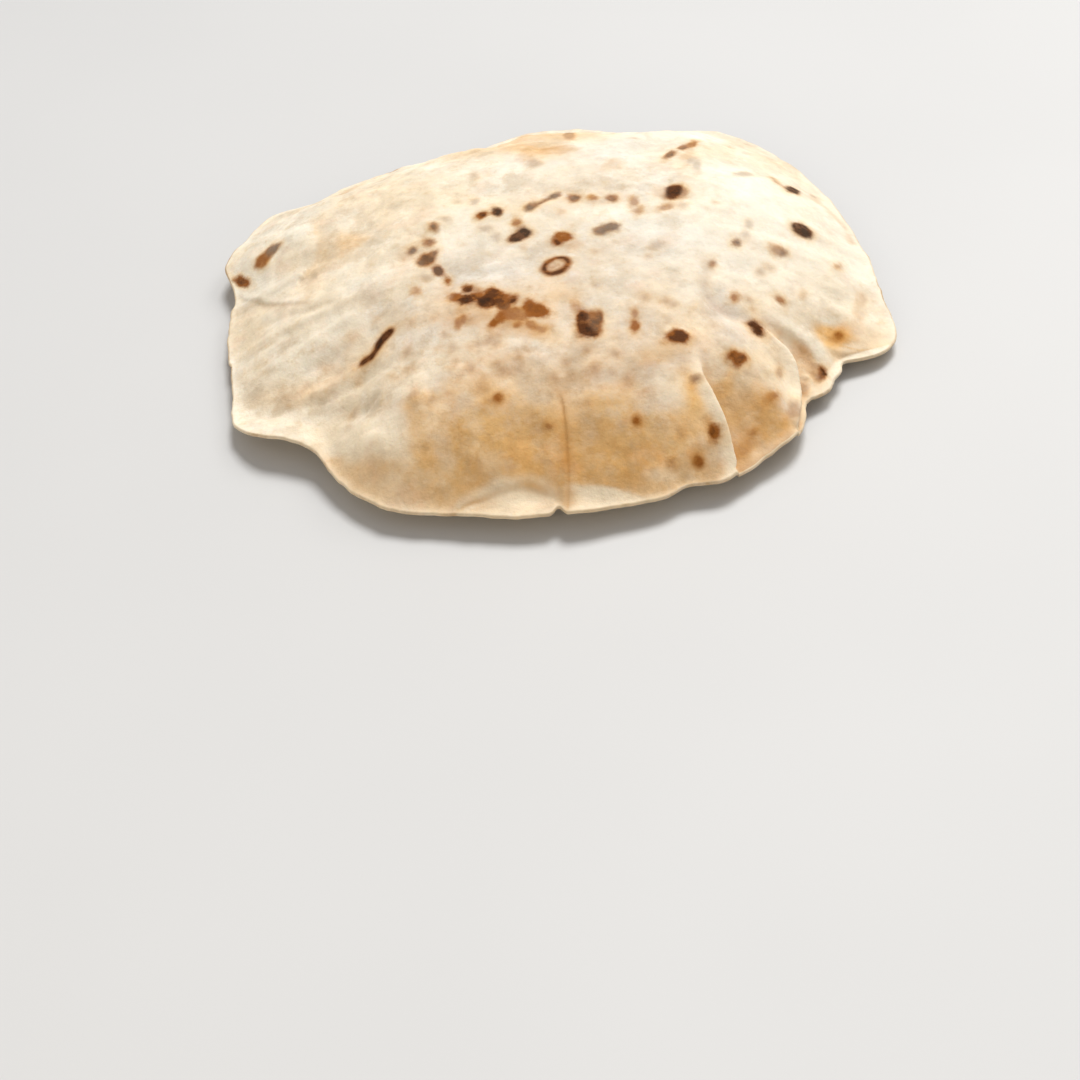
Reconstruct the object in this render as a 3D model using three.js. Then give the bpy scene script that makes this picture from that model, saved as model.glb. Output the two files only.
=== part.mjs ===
// A chapati, puffed on the griddle and settled again: one soft round flatbread.
// Its top is a dome with pleats that run out to a thin, wavy brim, and its underside is flat in
// the middle and lifts a little towards the brim.
// Millimetres and degrees. +Z is up, +Y points away from the diner, and directions are counted
// counter-clockwise from +X. The origin is under the middle of the bread, on the surface it lies on.

import * as THREE from 'three';

// Driving dimensions
const HALF_WIDTH = 88; // along X, before the uneven parts of the edge
const HALF_DEPTH = 83; // along Y
const CROWN = 30.7; // height of the dome
const LIP = 1.2; // thickness of the bread at its edge
const EDGE_LIFT = 3.5; // how far the edge stands off the surface where nothing lifts it more
const BRIM = 1.4; // width of the flat brim where it is narrow
const BEND = 1.8; // softness of the bend between brim and dome
const FLAT_SHARE = 0.6; // part of the radius over which the underside is flat
const UNDER_CURVE = 1.6; // over 1, the underside lifts later and then faster
const LOBES_FADE_IN = 0.5; // part of the radius from which the edge's lobes shape the dome
const PLEAT_FADE_IN = 0.4; // part of its length over which a pleat grows to its full height
const CREASE_FREE = 0.12; // part of the way in over which the brim stays free of pleats

// How finely the bread is divided
const SECTORS = 112;
const TOP_RINGS = 28;
const UNDER_RINGS = 8;
const RIM_CROWDING = 0.72; // under 1, the rings crowd towards the edge

// Uneven places along the edge: direction, half width before and after it, and size outwards
const EDGE_LOBES = [
  { name: 'right corner', at: 345.5, before: 6.5, after: 8, out: 4.8 },
  { name: 'right front tuck', at: 326, before: 8, after: 9, out: -8.6 },
  { name: 'front right bulge', at: 299, before: 5, after: 5, out: 1.6 },
  { name: 'front right nick', at: 291.5, before: 2.5, after: 2.5, out: -1.6 },
  { name: 'front left bulge', at: 240, before: 9, after: 9, out: 3.4 },
  { name: 'front left scoop', at: 219, before: 6, after: 7, out: -3.8 },
  { name: 'left corner', at: 204, before: 6, after: 6, out: 4.6 },
  { name: 'back left corner', at: 160, before: 8, after: 6, out: 7.5 },
  { name: 'back left shoulder', at: 147, before: 6, after: 8, out: 6 },
  { name: 'back left hollow', at: 107, before: 14, after: 15, out: -4.5 },
  { name: 'back bump', at: 88, before: 6, after: 6, out: 1 },
  { name: 'back notch', at: 72, before: 7, after: 7, out: -3 },
  { name: 'back right bulge', at: 50, before: 22, after: 15, out: 7 },
];

// Places where the edge lies higher or lower than EDGE_LIFT
const EDGE_LIFTS = [
  { name: 'front', at: 275, half: 45, up: 1 },
  { name: 'front left curl', at: 212, half: 11, up: 3.4 },
  { name: 'front pleat', at: 266, half: 9, up: 1 },
  { name: 'left corner', at: 204, half: 7, up: -1.5 },
  { name: 'back left curl', at: 148, half: 18, up: 2.5 },
  { name: 'right corner', at: 345, half: 10, up: -1 },
  { name: 'back', at: 75, half: 40, up: 3 },
];

// Stretches where the brim is wider than BRIM
const BRIM_WIDENINGS = [
  { name: 'front left curl', at: 210, half: 9, wider: 8 },
  { name: 'front pleat', at: 267, half: 7, wider: 4 },
  { name: 'right', at: 342, half: 12, wider: 4 },
  { name: 'back', at: 90, half: 30, wider: 3 },
];

// How steeply the dome leaves the brim, and how suddenly it then levels off towards the crown
const RISE = 2.4;
const LEVELLING = 2.5;
const CROWN_SOFTNESS = 0.08; // part of the radius over which the crown is rounded
const RISE_CHANGES = [
  { name: 'front', at: 270, half: 50, more: 0.75 },
  { name: 'left', at: 190, half: 30, more: -0.6 },
  { name: 'right', at: 345, half: 25, more: -0.4 },
];

// Pleats: lines over the dome, seen from above. The bread steps down by "step" on the left of
// the line as it is walked, with a fold "ridge" high along the upper side.
const PLEATS = [
  { name: 'front pleat', line: [[1, -57], [1, -70], [0, -83]], step: -0.9, ridge: 0, width: 1.5 },
  {
    name: 'front right pleat',
    line: [[36, -47], [40, -58], [43, -72]],
    step: 4,
    ridge: 1,
    width: 1.8,
  },
  {
    name: 'right pleat',
    line: [[50, -29], [58, -33], [62, -40], [60, -57]],
    step: 3.6,
    ridge: 0.9,
    width: 1.8,
  },
  {
    name: 'right flap',
    line: [[54, -28], [67, -29], [71, -36]],
    step: -2.2,
    ridge: 0,
    width: 1.8,
  },
  {
    name: 'left pleat',
    line: [[-57, -5], [-67, 0], [-76, 6], [-89, 24]],
    step: 1.5,
    ridge: 0.5,
    width: 2,
  },
  { name: 'left knob', line: [[-66, 36], [-62, 18], [-65, 11]], step: 1.2, ridge: 0, width: 2.4 },
  {
    name: 'front left crest',
    line: [[-83, -39], [-69, -47], [-56, -53], [-33, -66]],
    step: 0,
    ridge: 2,
    width: 4.5,
  },
];
const PLEAT_REACH = 10; // how far to its sides a pleat's step fades out

// Soft swellings and hollows of the dome: middle, half length, half width, turn and height
const SWELLINGS = [
  { name: 'left valley', x: -48, y: 12, long: 26, wide: 7, turn: 75, up: -1.5 },
  { name: 'back left hollow', x: -61, y: 15, long: 8, wide: 5, turn: 20, up: -1 },
  { name: 'right dimple', x: 74, y: -25, long: 5.5, wide: 5, turn: 0, up: -1.2 },
  { name: 'round hollow', x: 45, y: -26, long: 7.5, wide: 7, turn: 0, up: -0.9 },
  { name: 'front left swelling', x: -30, y: -64, long: 26, wide: 12, turn: 15, up: 1 },
  { name: 'back right swelling', x: 39, y: 13, long: 26, wide: 18, turn: 40, up: 1.2 },
];

const TURN = 360;
const toRadians = THREE.MathUtils.degToRad;
const { clamp, lerp, smoothstep } = THREE.MathUtils;

// Smallest signed turn from one direction to another
function turnBetween(direction, at) {
  return THREE.MathUtils.euclideanModulo(direction - at + TURN / 2, TURN) - TURN / 2;
}

// A smooth bump of height 1 around a direction, which may be wider after it than before it
function bump(direction, at, before, after = before) {
  const off = turnBetween(direction, at);
  const half = off < 0 ? before : after;
  return Math.exp(-((off / half) ** 2));
}

// Distance from the middle to the even oval that the bread was rolled out to
function ovalRadius(direction) {
  const angle = toRadians(direction);
  const across = HALF_DEPTH * Math.cos(angle);
  const along = HALF_WIDTH * Math.sin(angle);
  return (HALF_WIDTH * HALF_DEPTH) / Math.hypot(across, along);
}

// Distance from the middle to the edge in one direction
function edgeRadius(direction) {
  const lobes = EDGE_LOBES.map((lobe) => lobe.out * bump(direction, lobe.at, lobe.before, lobe.after));
  return lobes.reduce((sum, part) => sum + part, ovalRadius(direction));
}

// Sum of a base value and the bumps of a list, each with its size under the given key
function withBumps(base, list, key, direction) {
  return list.reduce((sum, item) => sum + item[key] * bump(direction, item.at, item.half), base);
}

const edgeLift = (direction) => withBumps(EDGE_LIFT, EDGE_LIFTS, 'up', direction);
const brimWidth = (direction) => withBumps(BRIM, BRIM_WIDENINGS, 'wider', direction);
const steepness = (direction) => withBumps(RISE, RISE_CHANGES, 'more', direction);

// Where a point lies against a pleat's line: its distance to the side, left positive, and how
// far it is along the line, from 0 to 1
function besideLine(x, y, line) {
  const point = new THREE.Vector2(x, y);
  const corners = line.map(([cornerX, cornerY]) => new THREE.Vector2(cornerX, cornerY));
  const lengths = corners.slice(1).map((corner, i) => corner.distanceTo(corners[i]));
  const whole = lengths.reduce((sum, length) => sum + length, 0);
  let best = { distance: Infinity, side: 0, along: 0 };
  let walked = 0;
  lengths.forEach((length, i) => {
    const step = corners[i + 1].clone().sub(corners[i]).divideScalar(length);
    const from = point.clone().sub(corners[i]);
    const reach = clamp(from.dot(step), 0, length);
    const distance = from.clone().sub(step.clone().multiplyScalar(reach)).length();
    if (distance < best.distance) {
      best = { distance, side: Math.sign(step.cross(from)), along: (walked + reach) / whole };
    }
    walked += length;
  });
  return best;
}

function pleatHeight(x, y, pleat) {
  const { distance, side, along } = besideLine(x, y, pleat.line);
  const across = distance * side;
  const step = (-pleat.step / 2) * Math.tanh(across / pleat.width);
  const fading = Math.exp(-((distance / PLEAT_REACH) ** 2));
  const ridge = pleat.ridge * Math.exp(-(((across + pleat.width) / pleat.width) ** 2));
  return smoothstep(along, 0, PLEAT_FADE_IN) * (step * fading + ridge);
}

function swellingHeight(x, y, swelling) {
  const offset = new THREE.Vector2(x - swelling.x, y - swelling.y);
  offset.rotateAround(new THREE.Vector2(), -toRadians(swelling.turn));
  const share = Math.hypot(offset.x / swelling.long, offset.y / swelling.wide);
  return swelling.up * Math.exp(-(share ** 2));
}

// How far in from the edge a point is. The lobes of the edge only count near it: further in the
// even oval does, so that the dome stays round.
function insetFromEdge(radius, direction) {
  const edge = edgeRadius(direction);
  const nearness = smoothstep(radius / edge, LOBES_FADE_IN, 1);
  return lerp(ovalRadius(direction), edge, nearness) - radius;
}

// A climb that is steep at first and then levels off below 1
function levelled(climb) {
  return (1 + climb ** -LEVELLING) ** (-1 / LEVELLING);
}

// Part of the dome's height at a share of the way in, with a rounded crown
function domeRise(share, direction) {
  const rounding = (left) => Math.hypot(left, CROWN_SOFTNESS) - CROWN_SOFTNESS;
  const climbed = 1 - rounding(1 - share) / rounding(1);
  const steep = steepness(direction);
  return levelled(steep * climbed) / levelled(steep);
}

// Height of the bread's top over a point of the plan
function topHeight(x, y) {
  const direction = THREE.MathUtils.radToDeg(Math.atan2(y, x));
  const brim = brimWidth(direction);
  const past = insetFromEdge(Math.hypot(x, y), direction) - brim;
  const inward = (past + Math.hypot(past, BEND)) / 2;
  const share = Math.min(inward / (ovalRadius(direction) - brim), 1);
  const edge = edgeLift(direction) + LIP;
  const dome = edge + (CROWN - edge) * domeRise(share, direction);
  const pleats = PLEATS.reduce((sum, pleat) => sum + pleatHeight(x, y, pleat), 0);
  const swellings = SWELLINGS.reduce((sum, item) => sum + swellingHeight(x, y, item), 0);
  return dome + smoothstep(share, 0, CREASE_FREE) * (pleats + swellings);
}

// Height of the underside at a share of the radius, in one direction
function underHeight(share, direction) {
  const past = Math.max(share - FLAT_SHARE, 0) / (1 - FLAT_SHARE);
  return edgeLift(direction) * past ** UNDER_CURVE;
}

// The whole bread as one closed surface: rings of points from the middle of the top, over the
// edge and back to the middle of the underside
function breadGeometry() {
  const points = [];
  const faces = [];
  const rings = [];
  const addPoint = (x, y, z) => points.push(x, y, z) / 3 - 1;

  const addRing = (share, height) => {
    const ring = [];
    for (let sector = 0; sector < SECTORS; sector += 1) {
      const direction = (TURN * sector) / SECTORS;
      const radius = edgeRadius(direction) * share;
      const x = radius * Math.cos(toRadians(direction));
      const y = radius * Math.sin(toRadians(direction));
      ring.push(addPoint(x, y, height(x, y, direction)));
    }
    rings.push(ring);
  };

  const top = addPoint(0, 0, topHeight(0, 0));
  for (let i = 1; i <= TOP_RINGS; i += 1) {
    addRing((i / TOP_RINGS) ** RIM_CROWDING, topHeight);
  }
  for (let i = 0; i <= UNDER_RINGS; i += 1) {
    const share = 1 - ((1 - FLAT_SHARE) * i) / UNDER_RINGS;
    addRing(share, (x, y, direction) => underHeight(share, direction));
  }
  const under = addPoint(0, 0, 0);

  const last = rings[rings.length - 1];
  for (let sector = 0; sector < SECTORS; sector += 1) {
    const next = (sector + 1) % SECTORS;
    faces.push(top, rings[0][sector], rings[0][next]);
    for (let i = 0; i + 1 < rings.length; i += 1) {
      const inner = rings[i];
      const outer = rings[i + 1];
      faces.push(inner[sector], outer[sector], outer[next]);
      faces.push(inner[sector], outer[next], inner[next]);
    }
    faces.push(last[sector], under, last[next]);
  }

  const geometry = new THREE.BufferGeometry();
  geometry.setAttribute('position', new THREE.Float32BufferAttribute(points, 3));
  geometry.setIndex(faces);
  return geometry;
}

// Moves a geometry so that the middle of its bounding box stands over the origin
function centreOverOrigin(geometry) {
  geometry.computeBoundingBox();
  const middle = geometry.boundingBox.getCenter(new THREE.Vector3());
  geometry.translate(-middle.x, -middle.y, -geometry.boundingBox.min.z);
  geometry.computeVertexNormals();
  return geometry;
}

const bakedDough = new THREE.MeshStandardMaterial({ color: 0xe9d8b4, roughness: 0.85, metalness: 0 });
const chapati = new THREE.Mesh(centreOverOrigin(breadGeometry()), bakedDough);
chapati.name = 'chapati';

const bread = new THREE.Group();
bread.add(chapati);

export default bread;
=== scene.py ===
"""A puffed chapati lying on its own: one soft flatbread with pleats, a thin brim and charred spots.

The bread is one fine mesh around the CAD frame's node. Its form is a height over the plan, in
millimetres about the middle of the bread: +X right, +Y away from the diner, +Z up. What the
photograph shows at one place, such as a pleat or a spot, is listed by its pixel there, in the
1080 x 1080 frame, and is then laid on the bread where the camera sees that pixel.
"""

import bpy
import numpy as np
from mathutils import Matrix, Vector


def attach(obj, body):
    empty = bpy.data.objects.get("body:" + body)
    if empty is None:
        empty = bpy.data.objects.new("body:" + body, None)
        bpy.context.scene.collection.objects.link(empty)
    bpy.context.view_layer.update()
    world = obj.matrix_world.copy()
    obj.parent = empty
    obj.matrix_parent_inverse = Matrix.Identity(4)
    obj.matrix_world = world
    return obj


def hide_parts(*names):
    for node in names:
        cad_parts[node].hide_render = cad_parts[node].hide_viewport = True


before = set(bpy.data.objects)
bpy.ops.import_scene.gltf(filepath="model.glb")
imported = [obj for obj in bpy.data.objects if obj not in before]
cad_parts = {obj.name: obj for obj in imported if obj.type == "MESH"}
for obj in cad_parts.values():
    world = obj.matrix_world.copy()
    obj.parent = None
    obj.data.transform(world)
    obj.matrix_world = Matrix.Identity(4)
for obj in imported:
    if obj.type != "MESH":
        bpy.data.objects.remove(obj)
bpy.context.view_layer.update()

MM = 0.001
TURN = 360.0
TINY = 1e-6  # keeps a length or a climb off zero

# -------- the bread's sizes, in mm

HALF_WIDTH = 88.0
HALF_DEPTH = 83.0
MEAN_RADIUS = (HALF_WIDTH + HALF_DEPTH) / 2
CROWN = 30.7
LIP = 1.2
HALF_LIP = LIP / 2
EDGE_LIFT = 3.5
BRIM = 1.4
BEND = 1.8

# From which share of the radius outwards the lobes and the narrow tucks of the edge shape the bread
LOBES_FADE_IN = 0.5
TUCKS_FADE_IN = 0.94

# The underside is flat out to this share of the radius, and lifts by this power beyond it
FLAT_SHARE = 0.6
UNDER_CURVE = 1.6

# Uneven places along the edge: direction, half width before and after it, mm outwards
EDGE_LOBES = {
    "right corner": (345.5, 6.5, 8, 4.8),
    "right front tuck": (326, 8, 9, -8.6),
    "front right bulge": (299, 5, 5, 1.6),
    "front left bulge": (240, 9, 9, 3.4),
    "front left scoop": (219, 6, 7, -3.8),
    "left corner": (204, 6, 8.5, 4.9),
    "back left corner": (160, 8, 6, 7.5),
    "back left shoulder": (147, 6, 8, 6),
    "back left hollow": (107, 14, 15, -4.5),
    "back bump": (88, 6, 6, 1),
    "back notch": (72, 7, 7, -3),
    "back right bulge": (50, 22, 15, 7),
}

# The same for narrow tucks, which only shape the bread close to the edge
EDGE_TUCKS = {
    "front right nick": (291.5, 2.5, 2.5, -1.6),
    "front pleat nick": (268.2, 0.9, 0.9, -2.2),
    "right corner step": (336.5, 2.6, 2.6, -4.2),
    "tuck loop": (328, 3.5, 2.6, 3.4),
}

# Places where the edge lies higher or lower: direction, half width, mm up
EDGE_LIFTS = {
    "front": (275, 45, 1),
    "front left curl": (212, 11, 3.4),
    "front pleat": (266, 9, 1.0),
    "left corner": (204, 7, -1.5),
    "back left curl": (148, 18, 2.5),
    "right corner": (345, 10, -1),
    "back": (75, 40, 3),
}

# Stretches with a wider brim: direction, half width, mm wider
BRIM_WIDENINGS = {
    "front left curl": (210, 9, 8.0),
    "front pleat left": (262, 5, 4.5),
    "front pleat right": (273, 4, 2.5),
    "right": (342, 12, 4),
    "back": (90, 30, 3),
}

# How steeply the dome leaves the brim, against its half width, and how suddenly it then levels off
RISE = 2.4
RISE_CHANGES = {"front": (270, 50, 0.75), "left": (190, 30, -0.6), "right": (345, 25, -0.4)}
LEVELLING = 2.5
CROWN_SOFTNESS = 0.08

# Random unevenness in layers of noise: mm high, mm across, seed
EDGE_NOISE_RADIUS = 80.0
EDGE_RAGGED = [(0.55, 9.0, 1), (0.3, 3.6, 2), (0.12, 1.6, 3)]
EDGE_WAVY = [(0.45, 14.0, 4), (0.15, 5.0, 5)]
SKIN_UNEVEN = [(0.6, 26, 11), (0.45, 13, 12), (0.27, 6.0, 13), (0.12, 2.8, 14), (0.045, 1.4, 15)]

# Small blisters: mm high, mm across, seed, and the noise at which they start and are whole
BLISTERS = (0.35, 5.2, 16, 0.45, 0.95)

# Soft sags that run down the shoulder: mm deep, mm apart, seed, and the radii between which they
# come in. Their noise is read at a radius that starts at SAG_RADIUS and grows SAG_STRETCH times
# slower than the bread's.
SAGS = (0.5, 7.0, 17)
SAGS_START = (35, 62)
SAG_RADIUS = 60.0
SAG_STRETCH = 3.0

# Pleats and wrinkles come in over this share of the way in from the brim, where they have only
# these shares of their height
BRIM_SHARE = 0.12
BRIM_UNEVENNESS = 0.25
BRIM_WRINKLES = 0.5
LEAN_FADE = (0.6, 3.0)  # mm inwards from the edge, between which the pleats start to lean

# -------- the photograph's camera

PHOTO = 1080.0
LENS = 80.0
SENSOR = 36.0
CAMERA_ELEVATION = 38.0
CAMERA_ROLL = 5.0
CAMERA_DISTANCE = 640.0
AIM = np.array([0.0, -11.0, 8.0])
AIM_PIXEL = (553.0, 326.0)


def camera_pose():
    """The camera's place in mm and its axes as columns (right, up, back), so that AIM is seen
    at AIM_PIXEL and the picture is turned by CAMERA_ROLL."""
    elevation = np.radians(CAMERA_ELEVATION)
    forward = np.array([0.0, np.cos(elevation), -np.sin(elevation)])
    right = np.array([1.0, 0.0, 0.0])
    axes = np.stack([right, np.cross(-forward, right), -forward], 1)
    roll = Matrix.Rotation(np.radians(-CAMERA_ROLL), 3, "Z")
    focal = LENS / SENSOR * PHOTO
    seen = np.array([AIM_PIXEL[0] - PHOTO / 2, PHOTO / 2 - AIM_PIXEL[1], -focal])
    seen /= np.linalg.norm(seen)
    middle = np.array([0.0, 0.0, -1.0])
    axis = np.cross(seen, middle)
    cross = np.array([[0, -axis[2], axis[1]], [axis[2], 0, -axis[0]], [-axis[1], axis[0], 0]])
    look = np.eye(3) + cross + cross @ cross / (1 + seen @ middle)
    return AIM - forward * CAMERA_DISTANCE, axes @ np.array(roll) @ look, focal


CAMERA_PLACE, CAMERA_AXES, CAMERA_FOCAL = camera_pose()

# -------- form


def turn_between(direction, at):
    return (direction - at + TURN / 2) % TURN - TURN / 2


def direction_of(x, y):
    return np.degrees(np.arctan2(y, x))


def polar(radius, directions):
    """Places of the plan at a radius, one for each direction."""
    angle = np.radians(directions)
    return radius * np.cos(angle), radius * np.sin(angle)


def bump(direction, at, before, after):
    off = turn_between(direction, at)
    return np.exp(-((off / np.where(off < 0, before, after)) ** 2))


def with_bumps(base, places, direction):
    return base + sum(size * bump(direction, at, half, half) for at, half, size in places.values())


def smooth(value, low, high):
    t = np.clip((value - low) / (high - low), 0, 1)
    return t * t * (3 - 2 * t)


NOISE_CELLS = 64
NOISE_START = (31.7, 17.3)  # keeps the middle of the bread off a corner of the noise's cells


def eased(value):
    return value * value * value * (value * (value * 6 - 15) + 10)


def noise(x, y, cell, seed):
    """Smooth random heights between -1 and 1 over the plan, with hills about one cell wide."""
    table = np.random.RandomState(seed).uniform(-1, 1, (NOISE_CELLS, NOISE_CELLS))
    u, v = np.asarray(x) / cell + NOISE_START[0], np.asarray(y) / cell + NOISE_START[1]
    i, j = np.floor(u).astype(int), np.floor(v).astype(int)
    a, b = eased(u - i), eased(v - j)
    i, j = i % NOISE_CELLS, j % NOISE_CELLS
    next_i, next_j = (i + 1) % NOISE_CELLS, (j + 1) % NOISE_CELLS
    near = table[i, j] * (1 - a) + table[next_i, j] * a
    far = table[i, next_j] * (1 - a) + table[next_i, next_j] * a
    return near * (1 - b) + far * b


def layered(x, y, layers):
    return sum(size * noise(x, y, cell, seed) for size, cell, seed in layers)


def oval_radius(direction):
    angle = np.radians(direction)
    return HALF_WIDTH * HALF_DEPTH / np.hypot(HALF_DEPTH * np.cos(angle), HALF_WIDTH * np.sin(angle))


def lobes_of(places, direction):
    return sum(out * bump(direction, at, before, after) for at, before, after, out in places.values())


def edge_radius(direction):
    ragged = layered(*polar(EDGE_NOISE_RADIUS, direction), EDGE_RAGGED)
    lobes = lobes_of(EDGE_LOBES, direction) + lobes_of(EDGE_TUCKS, direction)
    return oval_radius(direction) + lobes + ragged


def edge_lift(direction):
    wavy = layered(*polar(EDGE_NOISE_RADIUS, direction), EDGE_WAVY)
    return with_bumps(EDGE_LIFT, EDGE_LIFTS, direction) + wavy


def levelled(climb):
    """A climb that is steep at first and then levels off below 1."""
    return (1 + np.maximum(climb, TINY) ** -LEVELLING) ** (-1 / LEVELLING)


def rounded_off(value):
    """A value that is 0 at 0 and 1 at 1, but starts without a corner."""
    whole = np.hypot(1, CROWN_SOFTNESS) - CROWN_SOFTNESS
    return (np.hypot(value, CROWN_SOFTNESS) - CROWN_SOFTNESS) / whole


def dome_height(x, y):
    """The bread's top without its pleats and wrinkles, and how far in from the brim, 0 to 1."""
    direction = direction_of(x, y)
    radius = np.hypot(x, y)
    edge = edge_radius(direction)
    oval = oval_radius(direction)
    brim = with_bumps(BRIM, BRIM_WIDENINGS, direction)
    tucks = lobes_of(EDGE_TUCKS, direction)
    near = smooth(radius / edge, LOBES_FADE_IN, 1)
    close = smooth(radius / edge, TUCKS_FADE_IN, 1)
    past = oval + (edge - tucks - oval) * near + tucks * close - radius - brim
    inward = (past + np.hypot(past, BEND)) / 2
    share = np.clip(inward / (oval - brim), 0, 1)
    steep = with_bumps(RISE, RISE_CHANGES, direction)
    rise = levelled(steep * (1 - rounded_off(1 - share))) / levelled(steep)
    low = edge_lift(direction) + LIP
    return low + (CROWN - low) * rise, share


# -------- from the photograph's pixels to the plan

RAY_STEPS = 400
RAY_START = CROWN + 8  # mm up, above the highest place of the bread


def cast(pixels):
    """Plan places, in mm, where the rays of some pixels meet the dome."""
    pixels = np.atleast_2d(np.asarray(pixels, float))
    ahead = np.full(len(pixels), -CAMERA_FOCAL)
    rays = np.stack([pixels[:, 0] - PHOTO / 2, PHOTO / 2 - pixels[:, 1], ahead], 1) @ CAMERA_AXES.T
    heights = np.linspace(RAY_START, 0, RAY_STEPS)
    steps = (heights[None, :] - CAMERA_PLACE[2]) / rays[:, 2:3]
    path = CAMERA_PLACE + rays[:, None, :] * steps[:, :, None]
    x, y = path[..., 0], path[..., 1]
    within = np.hypot(x, y) <= edge_radius(direction_of(x, y))
    under = (dome_height(x, y)[0] >= heights) & within
    first = np.where(under.any(1), under.argmax(1), len(heights) - 1)
    return path[np.arange(len(pixels)), first, :2]


def in_ellipse(x, y, px, py, long, wide, turn=0):
    """How far places of the plan are from the middle of an ellipse of pixels, where 1 is its
    border, and its mean radius in mm."""
    c, s = np.cos(np.radians(turn)), np.sin(np.radians(turn))
    middle, end, side = cast([(px, py), (px + long * c, py - long * s), (px + wide * s, py + wide * c)])
    axes = np.stack([end - middle, side - middle], 1)
    share = np.linalg.solve(axes, np.stack([x - middle[0], y - middle[1]]))
    return np.hypot(share[0], share[1]), np.sqrt(abs(np.linalg.det(axes)))


CORNER_CUT = 0.25


def rounded(corners, rounds=3):
    """A line with its corners cut off a few times, which ends where it did."""
    line = np.asarray(corners, float)
    for _ in range(rounds if len(line) > 2 else 0):
        early = line[:-1] * (1 - CORNER_CUT) + line[1:] * CORNER_CUT
        late = line[:-1] * CORNER_CUT + line[1:] * (1 - CORNER_CUT)
        middle = np.stack([early, late], 1).reshape(-1, 2)
        line = np.concatenate([line[:1], middle[1:-1], line[-1:]])
    return line


def beside(x, y, line):
    """Distance in mm from a line of the plan, positive on its left, how far along, 0 to 1, and
    the direction to its left there."""
    spans = np.diff(line, axis=0)
    lengths = np.maximum(np.hypot(spans[:, 0], spans[:, 1]), TINY)
    walked = np.concatenate([[0], np.cumsum(lengths)])
    nearest = np.full(np.shape(x), np.inf)
    signed = np.zeros(np.shape(x))
    along = np.zeros(np.shape(x))
    left_way = np.zeros((2,) + np.shape(x))
    for start, span, length, before in zip(line, spans, lengths, walked):
        dx, dy = x - start[0], y - start[1]
        part = np.clip((dx * span[0] + dy * span[1]) / length**2, 0, 1)
        distance = np.hypot(dx - part * span[0], dy - part * span[1])
        closer = distance < nearest
        left = np.where(span[0] * dy - span[1] * dx < 0, -1.0, 1.0)
        nearest = np.where(closer, distance, nearest)
        signed = np.where(closer, distance * left, signed)
        along = np.where(closer, (before + part * length) / walked[-1], along)
        turned = np.array([-span[1], span[0]]).reshape(2, 1) / length
        left_way = np.where(closer, turned, left_way)
    return signed, along, left_way


# Pleats: the pixels they run through, step, ridge, width, reach, fade, over and sunk. The bread
# steps down by "step" mm, over "width", on the left of the line as it is walked, and stands up in a
# "ridge" along the upper side. "reach" is how far to the side the step takes to fade, "fade" the
# share of the length over which it comes in, "over" how far the upper side leans over the lower
# one, and "sunk" the share of the step by which the left side sinks.
PLEATS = {
    "front pleat": (
        [(561, 387), (563, 400), (566, 424), (568, 450), (570, 478), (569, 500), (569, 519)],
        -0.7, -0.4, 0.5, 8, 0.15, 0.1, 0.5,
    ),
    "front right pleat": (
        [
            (700, 354), (703, 375), (707, 388), (714, 402),
            (721, 417), (727, 433), (731, 450), (736, 468),
        ],
        4.2, 0.8, 0.9, 14, 0.45, 1.4, 0.8,
    ),
    "right pleat": (
        [
            (748, 316), (759, 322), (770, 331), (781, 343), (789, 355),
            (795, 368), (798, 384), (801, 400), (798, 424),
        ],
        4.0, 0.9, 0.9, 10, 0.4, 1.3, 0.5,
    ),
    "right flap": (
        [(758, 317), (776, 326), (794, 336), (810, 349), (820, 366)],
        -1.4, 0.0, 1.2, 8, 0.5, 0.3, 0.5,
    ),
    "right corner pleat": (
        [(822, 380), (830, 366), (842, 356), (862, 351), (893, 348)],
        -0.6, 0.0, 0.8, 6, 0.3, 0.3, 0.5,
    ),
    "left pleat": (
        [(334, 300), (300, 305), (270, 307), (232, 306)],
        0.35, 0.25, 0.9, 10, 0.5, 0.3, 0.5,
    ),
    "left knob": (
        [(305, 218), (312, 230), (316, 243), (315, 256), (308, 268)],
        1.2, 0.1, 2.2, 8, 0.5, 0.0, 0.5,
    ),
    "lip fold": (
        [(562, 499), (545, 491), (528, 483), (508, 489), (486, 499), (462, 508)],
        0.8, -0.3, 0.7, 5, 0.1, 0.3, 0.5,
    ),
}


def along_chord(x, y, line):
    """How far points are on the way from a line's start to its end, 0 to 1."""
    chord = line[-1] - line[0]
    walked = (x - line[0, 0]) * chord[0] + (y - line[0, 1]) * chord[1]
    return np.clip(walked / (chord @ chord), 0, 1)


def pleat_shapes(x, y):
    """How far the pleats move the bread's points to the side, as two rows, and up."""
    aside = np.zeros((2,) + np.shape(x))
    up = np.zeros(np.shape(x))
    for pixels, step, ridge, width, reach, fade, over, sunk in PLEATS.values():
        line = cast(pixels)
        signed, _, left_way = beside(x, y, rounded(line))
        starts = smooth(along_chord(x, y, line), 0, fade)
        across = signed / width
        sinks = sunk - (1 - np.tanh(across)) / 2
        stepped = -step * sinks * np.exp(-((signed / reach) ** 2))
        up += starts * (stepped + ridge * np.exp(-((across + 1) ** 2)))
        lean = -across * np.exp((1 - across**2) / 2)
        aside += over * starts * lean * left_way
    return aside, up


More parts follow.
